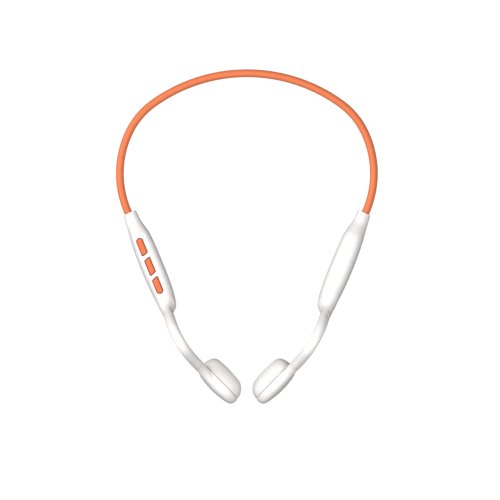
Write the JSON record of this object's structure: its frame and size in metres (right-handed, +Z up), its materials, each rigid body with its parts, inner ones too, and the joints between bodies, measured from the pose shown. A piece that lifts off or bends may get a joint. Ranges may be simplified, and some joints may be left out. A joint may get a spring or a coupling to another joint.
{
  "type": "bone conduction headphones",
  "caption": "Open-ear headphones: sprung neckband, housings behind the ears, hooks over the ears and cheekbone transducer pods.",
  "frame": {"origin": "on the table, under the middle of the bounding box of the set as it lies", "axes": "+Z up as it is worn, -Y the wearer's front (pods), +Y the back of the neck (band), -X the wearer's right"},
  "size_m": [0.118, 0.1507, 0.0374],
  "materials": {
    "jacket": "soft matt silicone",
    "shell": "warm white, satin gloss",
    "hook": "soft-touch warm white silicone",
    "cushion": "soft silicone, warm light grey",
    "button": "satin orange",
    "gasket": "black-grey silicone",
    "spring_metal": "titanium wire and sprung steel",
    "cable": "insulated wire",
    "steel": "plated steel",
    "copper": "enamelled copper wire",
    "board": "green solder mask",
    "dark_plastic": "dark moulded plastic",
    "membrane": "thin silicone",
    "gold": "gold plated pins",
    "mesh": "woven acoustic mesh",
    "lens": "clear light pipe",
    "foil": "foil pouch"
  },
  "bodies": {
    "neckband": {"band_sleeve": "jacket", "band_core_wire": "spring_metal", "band_cable": "cable"},
    "right_side": {"right_housing_top": "shell", "right_housing_bottom": "shell", "right_housing_seal": "gasket", "right_wire_anchor": "steel", "right_hook_sleeve": "hook", "right_hook_wire": "spring_metal", "right_hook_cable": "cable", "right_pod_shell": "shell", "right_pod_cushion": "cushion", "right_driver_frame": "steel", "right_voice_coil": "copper", "right_leaf_spring": "spring_metal", "main_board": "board", "bluetooth_module": "steel", "button_switches": "dark_plastic", "keypad_membrane": "membrane", "charging_port": "dark_plastic", "charging_contacts": "gold", "microphone": "steel", "microphone_mesh": "mesh", "status_light": "lens"},
    "left_side": {"left_housing_top": "shell", "left_housing_bottom": "shell", "left_housing_seal": "gasket", "left_wire_anchor": "steel", "left_hook_sleeve": "hook", "left_hook_wire": "spring_metal", "left_hook_cable": "cable", "left_pod_shell": "shell", "left_pod_cushion": "cushion", "left_driver_frame": "steel", "left_voice_coil": "copper", "left_leaf_spring": "spring_metal", "battery": "foil", "battery_board": "board"},
    "left_driver_mass": {"left_driver_mass": "steel"},
    "multifunction_button": {"multifunction_button": "button"},
    "right_driver_mass": {"right_driver_mass": "steel"},
    "volume_down_button": {"volume_down_button": "button"},
    "volume_up_button": {"volume_up_button": "button"}
  },
  "joints": [
    {"name": "right_spread", "type": "hinge", "parent": "neckband", "child": "right_side", "pos_m": [-0.033, 0.05784, 0.00295], "axis": [0, -0.0732, -0.9973], "range_deg": [-0.8, 25], "stiffness_Nm_per_rad": 0.2, "deforming": ["band_sleeve", "band_core_wire", "band_cable"]},
    {"name": "left_spread", "type": "hinge", "parent": "neckband", "child": "left_side", "pos_m": [0.033, 0.05784, 0.00295], "axis": [0, 0.0732, 0.9973], "range_deg": [-0.8, 25], "stiffness_Nm_per_rad": 0.2, "deforming": ["band_sleeve", "band_core_wire", "band_cable"]},
    {"name": "volume_up_press", "type": "slide", "parent": "right_side", "child": "volume_up_button", "axis": [0, -0.0732, -0.9973], "range_m": [0, 0.0003], "stiffness_N_per_m": 600},
    {"name": "multifunction_press", "type": "slide", "parent": "right_side", "child": "multifunction_button", "axis": [0, -0.0732, -0.9973], "range_m": [0, 0.0003], "stiffness_N_per_m": 600},
    {"name": "volume_down_press", "type": "slide", "parent": "right_side", "child": "volume_down_button", "axis": [0, -0.0732, -0.9973], "range_m": [0, 0.0003], "stiffness_N_per_m": 600},
    {"name": "right_mass_swing", "type": "slide", "parent": "right_side", "child": "right_driver_mass", "axis": [0.7193, 0.6928, -0.0509], "range_m": [-0.0003, 0.0003], "stiffness_N_per_m": 1500, "deforming": ["right_leaf_spring"]},
    {"name": "left_mass_swing", "type": "slide", "parent": "left_side", "child": "left_driver_mass", "axis": [-0.7193, 0.6928, -0.0509], "range_m": [-0.0003, 0.0003], "stiffness_N_per_m": 1500, "deforming": ["left_leaf_spring"]}
  ]
}
